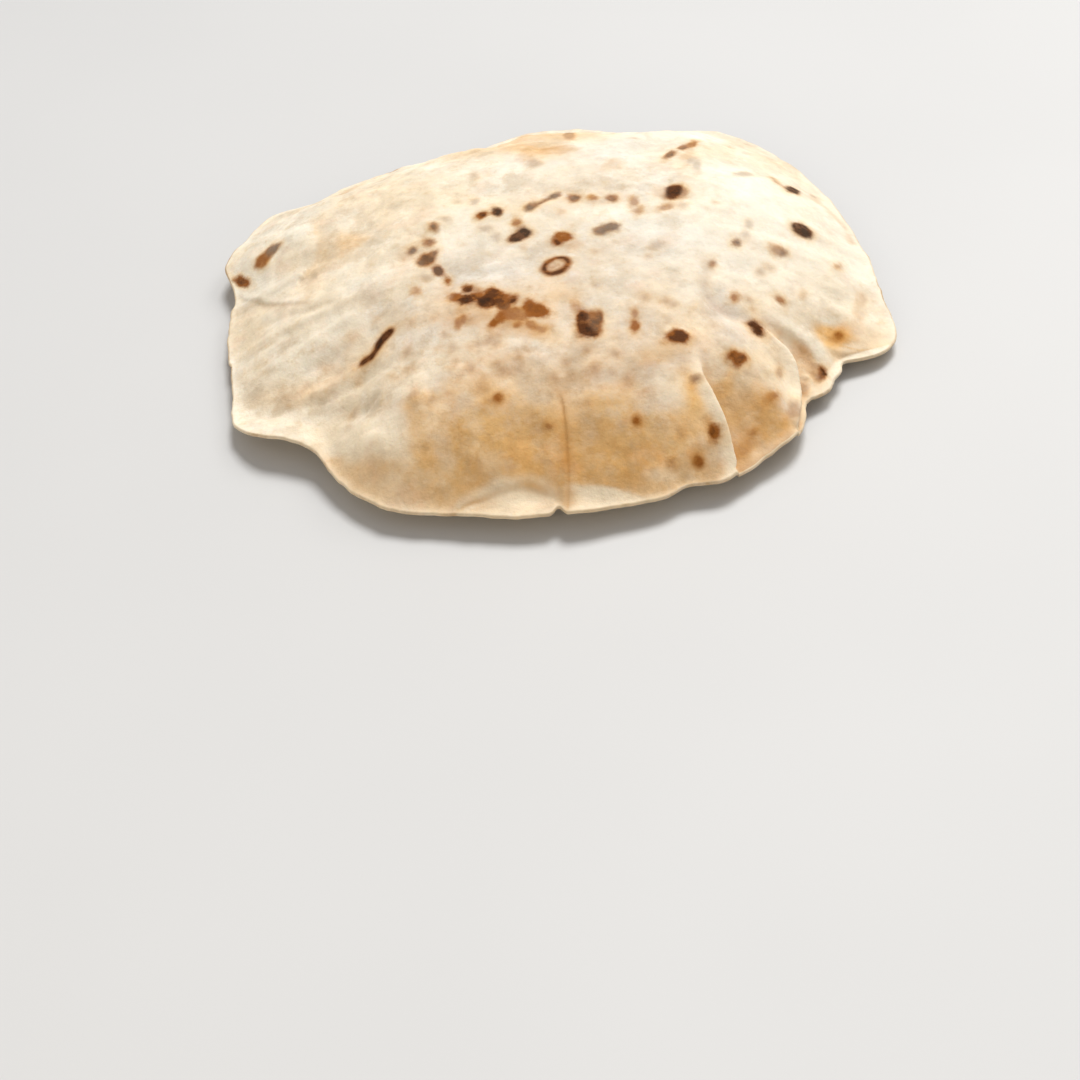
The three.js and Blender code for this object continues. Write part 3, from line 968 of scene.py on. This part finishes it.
def build_bread():
    points, faces, plan, top_count = bread_mesh()
    x, y = plan[:, 0], plan[:, 1]
    middle = (points.min(0) + points.max(0)) / 2
    shift = np.array([middle[0], middle[1], points[:, 2].min()])
    mesh = bpy.data.meshes.new("chapati_bread")
    mesh.vertices.add(len(points))
    mesh.vertices.foreach_set("co", ((points - shift) * MM).ravel())
    mesh.loops.add(len(faces) * 3)
    mesh.loops.foreach_set("vertex_index", faces.ravel().astype(np.int32))
    mesh.polygons.add(len(faces))
    mesh.polygons.foreach_set("loop_start", np.arange(0, len(faces) * 3, 3, dtype=np.int32))
    mesh.polygons.foreach_set("use_smooth", np.ones(len(faces), dtype=bool))
    mesh.update(calc_edges=True)
    mesh.validate()

    under = np.arange(len(points)) >= top_count
    fields = spot_fields(x, y, spot_depths)
    for name, field in spot_fields(x[under], y[under], under_spot_depths).items():
        fields[name][under] = field
    fields["tan"] = np.where(under, 0.0, tan_and_shade_field(x, y))
    fields["dull_and_shade"] = np.where(under, 0.0, zone_field(x, y, DULL_AND_SHADE_ZONES) * (1 - crest_highlight_field(x, y)))
    fields["pale"] = np.where(under, 0.0, pale_field(x, y))
    # front: where the flour takes on painted warm shade
    fields["front"] = smooth(-y, *WARM_SHADE_FRONT)
    fields["underside"] = under.astype(float)
    for name, field in fields.items():
        layer = mesh.attributes.new(name, "FLOAT", "POINT")
        layer.data.foreach_set("value", field.astype(np.float32))
    bread = bpy.data.objects.new("chapati_bread", mesh)
    bpy.context.collection.objects.link(bread)
    return bread, shift


# -------- materials


class Nodes:
    """A short way to write node trees."""

    def __init__(self, name):
        self.material = bpy.data.materials.new(name)
        self.material.use_nodes = True
        self.tree = self.material.node_tree
        self.tree.nodes.clear()

    def add(self, kind, settings=None, **inputs):
        node = self.tree.nodes.new(kind)
        for key, value in (settings or {}).items():
            setattr(node, key, value)
        for key, value in inputs.items():
            self.feed(node.inputs[key.replace("_", " ")], value)
        return node

    def feed(self, socket, value):
        if isinstance(value, bpy.types.NodeSocket):
            self.tree.links.new(value, socket)
        else:
            socket.default_value = value

    def feed_all(self, node, *values):
        for socket, value in zip(node.inputs, values):
            self.feed(socket, value)
        return node.outputs[0]

    def math(self, operation, a, b=0.0, c=0.0):
        return self.feed_all(self.add("ShaderNodeMath", {"operation": operation}), a, b, c)

    def times(self, a, b):
        return self.math("MULTIPLY", a, b)

    def times_plus(self, a, b, c):
        return self.math("MULTIPLY_ADD", a, b, c)

    def ramp(self, value, low, high, to_low=0.0, to_high=1.0):
        node = self.add("ShaderNodeMapRange", {"interpolation_type": "SMOOTHSTEP"})
        return self.feed_all(node, value, low, high, to_low, to_high)

    def mix(self, amount, first, second, blend="MIX"):
        node = self.add("ShaderNodeMix", {"data_type": "RGBA", "blend_type": blend})
        self.feed(node.inputs["Factor"], amount)
        # Sockets 6 and 7 and output 2 are the node's colours
        self.feed(node.inputs[6], first)
        self.feed(node.inputs[7], second)
        return node.outputs[2]

    def scale(self, colour, amount):
        node = self.add("ShaderNodeVectorMath", {"operation": "SCALE"})
        self.feed(node.inputs[0], colour)
        self.feed(node.inputs["Scale"], amount)
        return node.outputs[0]

    def attribute(self, name):
        return self.add("ShaderNodeAttribute", {"attribute_name": name}).outputs["Fac"]

    def noise(self, feature, detail=3.0, rough=0.55, offset=0.0):
        """Noise between 0 and 1, with hills about "feature" mm across."""
        place = self.add("ShaderNodeTexCoord").outputs["Object"]
        moved = self.add("ShaderNodeVectorMath", {"operation": "ADD"})
        self.feed(moved.inputs[0], place)
        moved.inputs[1].default_value = (offset, offset * 0.7, offset * 1.3)
        node = self.add("ShaderNodeTexNoise", Vector=moved.outputs[0], Detail=detail, Roughness=rough)
        node.inputs["Scale"].default_value = 0.5 / (feature * MM)
        return node.outputs["Fac"]

    def finish(self, shader):
        self.add("ShaderNodeOutputMaterial", Surface=shader.outputs[0])
        return self.material


CREAM = (0.83, 0.705, 0.53, 1)
FLOUR_AND_HIGHLIGHT = (0.92, 0.88, 0.78, 1)
FLOUR_IN_WARM_SHADE = (0.95, 0.81, 0.61, 1)
TAN = (0.66, 0.47, 0.25, 1)
PINKISH = (0.80, 0.60, 0.45, 1)
GREYISH = (0.68, 0.565, 0.42, 1)
FAINT_BROWN = (0.50, 0.33, 0.17, 1)
TOAST_AND_SHADE_TINT = (0.95, 0.66, 0.34, 1)
DULL_AND_SHADE_TINT = (0.83, 0.85, 0.93, 1)
TOASTED_SPOT = (0.49, 0.225, 0.055, 1)
HALO_TINT = (0.95, 0.78, 0.56, 1)
BROWN = (0.27, 0.078, 0.005, 1)
DARK = (0.085, 0.022, 0.003, 1)
BLACKISH = (0.032, 0.009, 0.002, 1)
ASH = (0.19, 0.14, 0.11, 1)


def dough_material():
    n = Nodes("chapati_dough")
    broad = n.noise(15, 3, 0.5, 0.1)
    patch = n.noise(5, 5, 0.65, 0.3)
    other = n.noise(7, 5, 0.65, 0.7)
    small = n.noise(2.2, 4, 0.65, 0.4)
    fine = n.noise(1.0, 4, 0.65, 0.5)
    grain = n.noise(0.4, 3, 0.6, 0.9)

    # Plain dough: cream, with floury, pinkish, greyish and tan patches of several sizes
    colour = n.mix(n.ramp(broad, 0.38, 0.66, 0, 0.6), CREAM, FLOUR_AND_HIGHLIGHT)
    colour = n.mix(n.ramp(patch, 0.50, 0.66, 0, 0.4), colour, PINKISH)
    colour = n.mix(n.ramp(other, 0.50, 0.64, 0, 0.7), colour, GREYISH)
    colour = n.mix(n.ramp(small, 0.52, 0.72, 0, 0.35), colour, TAN)
    colour = n.mix(n.ramp(small, 0.30, 0.45, 0.35, 0), colour, FLOUR_AND_HIGHLIGHT)
    colour = n.mix(n.ramp(fine, 0.55, 0.75, 0, 0.3), colour, TAN)
    mottle = n.times_plus(n.noise(1.7, 3, 0.6, 4.1), 0.36, 0.82)
    broader = n.times_plus(n.noise(4.2, 3, 0.5, 4.7), 0.40, 0.80)
    colour = n.scale(colour, n.times(mottle, broader))

    # The underside's griddle marks
    under = n.attribute("underside")
    griddle = n.times(under, n.ramp(n.noise(7, 5, 0.65, 1.3), 0.48, 0.66))
    colour = n.mix(n.times(under, 0.35), colour, TAN)
    colour = n.mix(n.times(griddle, 0.8), colour, FAINT_BROWN)
    burnt = n.times(under, n.ramp(n.noise(4.5, 5, 0.65, 2.1), 0.62, 0.70))
    colour = n.mix(n.times(burnt, 0.85), colour, BROWN)

    # Tan, dull and pale zones: toasting with painted warm shade, greyer dough with painted shade, and
    # flour with painted highlights
    patchy = n.ramp(n.noise(4, 5, 0.65, 2.7), 0.3, 0.6, 0.75, 1.1)
    # Tan crust: toasting, with painted warm shade where the front lies in shade
    toast_and_shade = n.times(n.attribute("tan"), patchy)
    colour = n.mix(toast_and_shade, colour, TOAST_AND_SHADE_TINT, "MULTIPLY")
    # Dull: greyer dough, with painted shade on the shaded slopes
    colour = n.mix(n.attribute("dull_and_shade"), colour, DULL_AND_SHADE_TINT, "MULTIPLY")
    # The flour turns warm in front, as painted warm shade
    flour_colour_with_warm_shade = n.mix(n.attribute("front"), FLOUR_AND_HIGHLIGHT, FLOUR_IN_WARM_SHADE)
    # Pale: flour, with painted highlights on the lit lips, the crests and the back right
    pale = n.times(n.attribute("pale"), n.ramp(fine, 0.3, 0.6, 1.0, 0.7))
    colour = n.mix(pale, colour, flour_colour_with_warm_shade)

    # Spots: their wandering border, their colour and the browned halo around them
    ragged = n.attribute("ragged")
    wobble = n.times_plus(n.noise(2.2, 3, 0.6, 1.1), 3.6, -1.8)
    nibble = n.times_plus(n.noise(0.9, 3, 0.6, 1.7), 1.2, -0.6)
    wander = n.times(n.math("ADD", wobble, nibble), ragged)
    depth = n.math("ADD", n.math("ADD", n.attribute("spot"), 0.15), wander)
    cover = n.attribute("cover")
    uneven = n.noise(1.8, 4, 0.65, 3.3)
    tone = n.times(n.attribute("burnt"), n.ramp(depth, -0.3, 1.3, 0.45, 1.15))
    tone = n.times(tone, n.ramp(uneven, 0.3, 0.65, 0.65, 1.25))
    char = n.mix(n.ramp(tone, 0.05, 0.34), TOASTED_SPOT, BROWN)
    char = n.mix(n.ramp(tone, 0.34, 0.75), char, DARK)
    char = n.mix(n.ramp(tone, 0.85, 1.1), char, BLACKISH)
    char = n.mix(n.times(n.attribute("ashen"), 0.8), char, ASH)

    around = n.times(n.ramp(depth, -2.6, 0.4), n.ramp(small, 0.3, 0.6, 0.35, 1.0))
    halo = n.times(n.times(around, cover), 0.85)
    colour = n.mix(halo, colour, HALO_TINT, "MULTIPLY")
    soft = n.ramp(cover, 0.35, 0.95, 1.4, 0.85)
    edge = n.ramp(depth, n.times(soft, -1.0), soft)
    alpha = n.times(n.times(edge, cover), n.ramp(uneven, 0.25, 0.5, 0.95, 1.0))
    colour = n.mix(alpha, colour, char)

    # The skin's relief and sheen
    height = n.times_plus(fine, 0.55, n.times(grain, 0.30))
    height = n.times_plus(small, 0.9, height)
    height = n.times_plus(n.times(alpha, n.noise(0.9, 3, 0.7, 3.0)), 0.7, height)
    relief = n.add("ShaderNodeBump", Height=height, Distance=0.4 * MM, Strength=0.7)

    roughness = n.times_plus(fine, 0.18, 0.58)
    shader = n.add("ShaderNodeBsdfPrincipled", Base_Color=colour, Roughness=roughness)
    n.feed(shader.inputs["Normal"], relief.outputs[0])
    shader.inputs["Specular IOR Level"].default_value = 0.04
    shader.inputs["Subsurface Weight"].default_value = 0.06
    shader.inputs["Subsurface Radius"].default_value = (1.0, 0.55, 0.28)
    shader.inputs["Subsurface Scale"].default_value = 1.5 * MM
    return n.finish(shader)


FLOOR_HALF = 4.0  # metres
FLOOR_COLOURS = (0.615, 0.62, 0.635, 1), (0.63, 0.635, 0.65, 1)


def floor_material():
    n = Nodes("studio_floor")
    colour = n.mix(n.ramp(n.noise(60, 2, 0.5, 0.2), 0.3, 0.7), *FLOOR_COLOURS)
    shader = n.add("ShaderNodeBsdfPrincipled", Base_Color=colour, Roughness=0.6)
    return n.finish(shader)


# -------- stage, light and camera


def build_floor():
    sides = [(-1, -1), (1, -1), (1, 1), (-1, 1)]
    mesh = bpy.data.meshes.new("floor")
    mesh.from_pydata([(a * FLOOR_HALF, b * FLOOR_HALF, 0) for a, b in sides], [], [(0, 1, 2, 3)])
    floor = bpy.data.objects.new("floor", mesh)
    bpy.context.collection.objects.link(floor)
    mesh.materials.append(floor_material())


WORLD_COLOUR = (0.99, 0.96, 0.93, 1)
WORLD_LIGHT = 0.40
BACKDROP = (0.70, 0.70, 0.71, 1)


def add_light(kind, name, place, size, power, colour):
    """A light at a place in metres, aimed at the bread. A sun's size is an angle in degrees."""
    data = bpy.data.lights.new(name, kind)
    data.energy = power
    data.color = colour
    if kind == "SUN":
        data.angle = np.radians(size)
    else:
        data.shape = "DISK"
        data.size = size
    light = bpy.data.objects.new(name, data)
    light.location = place
    light.rotation_mode = "QUATERNION"
    light.rotation_quaternion = (-Vector(place)).to_track_quat("-Z", "Y")
    bpy.context.collection.objects.link(light)


def build_lights():
    add_light("SUN", "key", (0.22, 0.62, 0.90), 22, 2.42, (0.99, 0.985, 0.96))
    add_light("AREA", "warm side", (0.45, 0.35, 0.60), 0.40, 1.6, (1.0, 0.97, 0.90))
    add_light("AREA", "fill", (-0.6, -1.1, 0.6), 0.9, 3.08, (1.0, 0.84, 0.56))
    world = bpy.data.worlds.new("studio")
    world.use_nodes = True
    tree = world.node_tree
    soft_light = tree.nodes["Background"]
    soft_light.inputs["Color"].default_value = WORLD_COLOUR
    soft_light.inputs["Strength"].default_value = WORLD_LIGHT
    backdrop = tree.nodes.new("ShaderNodeBackground")
    backdrop.inputs["Color"].default_value = BACKDROP
    path = tree.nodes.new("ShaderNodeLightPath")
    either = tree.nodes.new("ShaderNodeMixShader")
    tree.links.new(path.outputs["Is Camera Ray"], either.inputs[0])
    tree.links.new(soft_light.outputs[0], either.inputs[1])
    tree.links.new(backdrop.outputs[0], either.inputs[2])
    tree.links.new(either.outputs[0], tree.nodes["World Output"].inputs["Surface"])
    bpy.context.scene.world = world
    bpy.context.scene.view_settings.view_transform = "Standard"


def build_camera(shift):
    data = bpy.data.cameras.new("camera")
    data.lens = LENS
    data.sensor_width = SENSOR
    data.clip_start = 0.01
    camera = bpy.data.objects.new("camera", data)
    pose = Matrix(CAMERA_AXES.tolist()).to_4x4()
    pose.translation = (CAMERA_PLACE - shift) * MM
    camera.matrix_world = pose
    bpy.context.collection.objects.link(camera)
    bpy.context.scene.camera = camera


bread, shift = build_bread()
bread.data.materials.append(dough_material())
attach(bread, "root")
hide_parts("chapati")
build_floor()
build_lights()
build_camera(shift)
